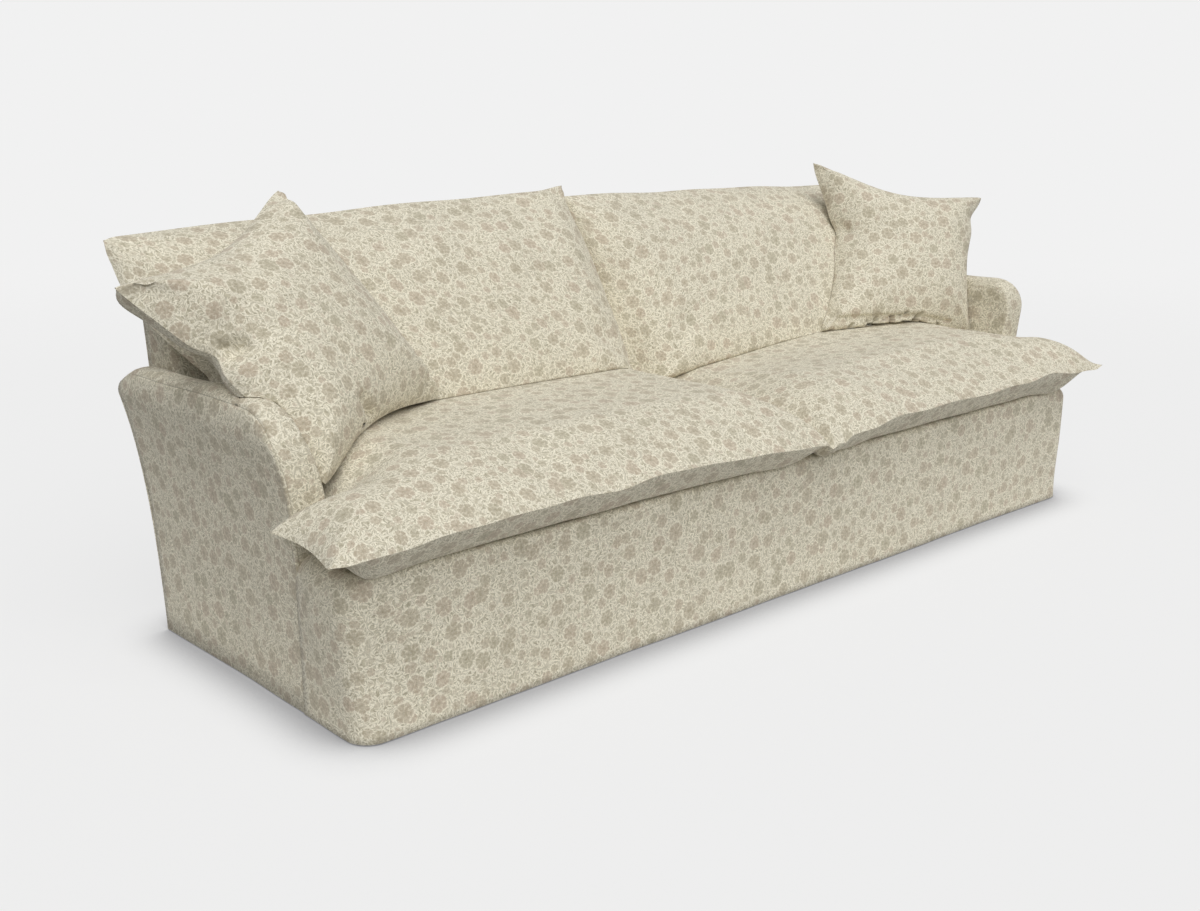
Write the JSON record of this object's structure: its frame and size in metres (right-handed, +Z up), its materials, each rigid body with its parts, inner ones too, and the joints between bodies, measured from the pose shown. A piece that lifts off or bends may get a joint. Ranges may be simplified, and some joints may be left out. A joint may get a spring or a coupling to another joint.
{
  "type": "loose-cover sofa",
  "caption": "Long low sofa in a fitted floor-length loose cover, with thin flared arms, T-shaped seat cushions, leaning back cushions and knife-edge scatter cushions.",
  "frame": {"origin": "on the floor under the middle of the base, at the centre of the middle foot's flat underside", "axes": "+X along the length to the sitter's left as seen from the front on the right, +Y to the back, +Z up"},
  "size_m": [2.7695, 0.968, 0.9624],
  "materials": {
    "loose_cover": "matte linen weave with an all-over small print in taupe on cream",
    "cushion_cover": "matte linen weave with an all-over small print in taupe on cream",
    "padding": "soft white wadding over foam",
    "hessian": "coarse jute weave",
    "dust_cloth": "thin black lining cloth",
    "frame_wood": "planed bare beech",
    "foot_wood": "turned and stained, satin",
    "spring_steel": "drawn wire"
  },
  "bodies": {
    "sofa_body": {"front_rail": "frame_wood", "back_rail": "frame_wood", "side_rail_left": "frame_wood", "side_rail_right": "frame_wood", "spring_rail": "frame_wood", "bearer_left": "frame_wood", "bearer_centre": "frame_wood", "bearer_right": "frame_wood", "corner_block_front_left": "frame_wood", "corner_block_front_right": "frame_wood", "corner_block_back_left": "frame_wood", "corner_block_back_right": "frame_wood", "foot_front_left": "foot_wood", "foot_front_right": "foot_wood", "foot_back_left": "foot_wood", "foot_back_right": "foot_wood", "foot_centre": "foot_wood", "dust_cover": "dust_cloth", "arm_front_board_left": "frame_wood", "arm_front_board_right": "frame_wood", "arm_rear_board_left": "frame_wood", "arm_rear_board_right": "frame_wood", "arm_top_rail_left": "frame_wood", "arm_top_rail_right": "frame_wood", "arm_tack_rail_left": "frame_wood", "arm_tack_rail_right": "frame_wood", "back_post_left": "frame_wood", "back_post_centre": "frame_wood", "back_post_right": "frame_wood", "back_top_rail": "frame_wood", "back_lower_rail_left": "frame_wood", "back_lower_rail_right": "frame_wood", "back_hessian": "hessian", "seat_spring_1": "spring_steel", "seat_spring_2": "spring_steel", "seat_spring_3": "spring_steel", "seat_spring_4": "spring_steel", "seat_spring_5": "spring_steel", "seat_spring_6": "spring_steel", "seat_spring_7": "spring_steel", "seat_spring_8": "spring_steel", "arm_cover_left": "loose_cover", "arm_cover_right": "loose_cover", "arm_pad_left": "padding", "arm_pad_right": "padding", "inside_back_cover": "loose_cover", "back_pad": "padding", "outside_back_cover": "loose_cover", "front_cover": "loose_cover", "front_pad": "padding", "platform_cover": "loose_cover", "seat_pad": "padding"},
    "seat_left": {"seat_cushion_left": "cushion_cover"},
    "seat_right": {"seat_cushion_right": "cushion_cover"},
    "back_left": {"back_cushion_left": "cushion_cover"},
    "back_right": {"back_cushion_right": "cushion_cover"},
    "scatter_left": {"scatter_cushion_left": "cushion_cover"},
    "scatter_right": {"scatter_cushion_right": "cushion_cover"}
  },
  "joints": [
    {"name": "seat_left_lift", "type": "slide", "parent": "sofa_body", "child": "seat_left", "axis": [0, -0.6, 0.8], "range_m": [0, 0.5]},
    {"name": "seat_right_lift", "type": "slide", "parent": "sofa_body", "child": "seat_right", "axis": [0, -0.6, 0.8], "range_m": [0, 0.5]},
    {"name": "back_left_lift", "type": "slide", "parent": "seat_left", "child": "back_left", "axis": [0, -0.6, 0.8], "range_m": [0, 0.6]},
    {"name": "back_right_lift", "type": "slide", "parent": "seat_right", "child": "back_right", "axis": [0, -0.6, 0.8], "range_m": [0, 0.6]},
    {"name": "scatter_left_lift", "type": "slide", "parent": "back_left", "child": "scatter_left", "axis": [0.3006, -0.501, 0.8116], "range_m": [0, 0.4]},
    {"name": "scatter_right_lift", "type": "slide", "parent": "back_right", "child": "scatter_right", "axis": [-0.3006, -0.501, 0.8116], "range_m": [0, 0.4]}
  ]
}
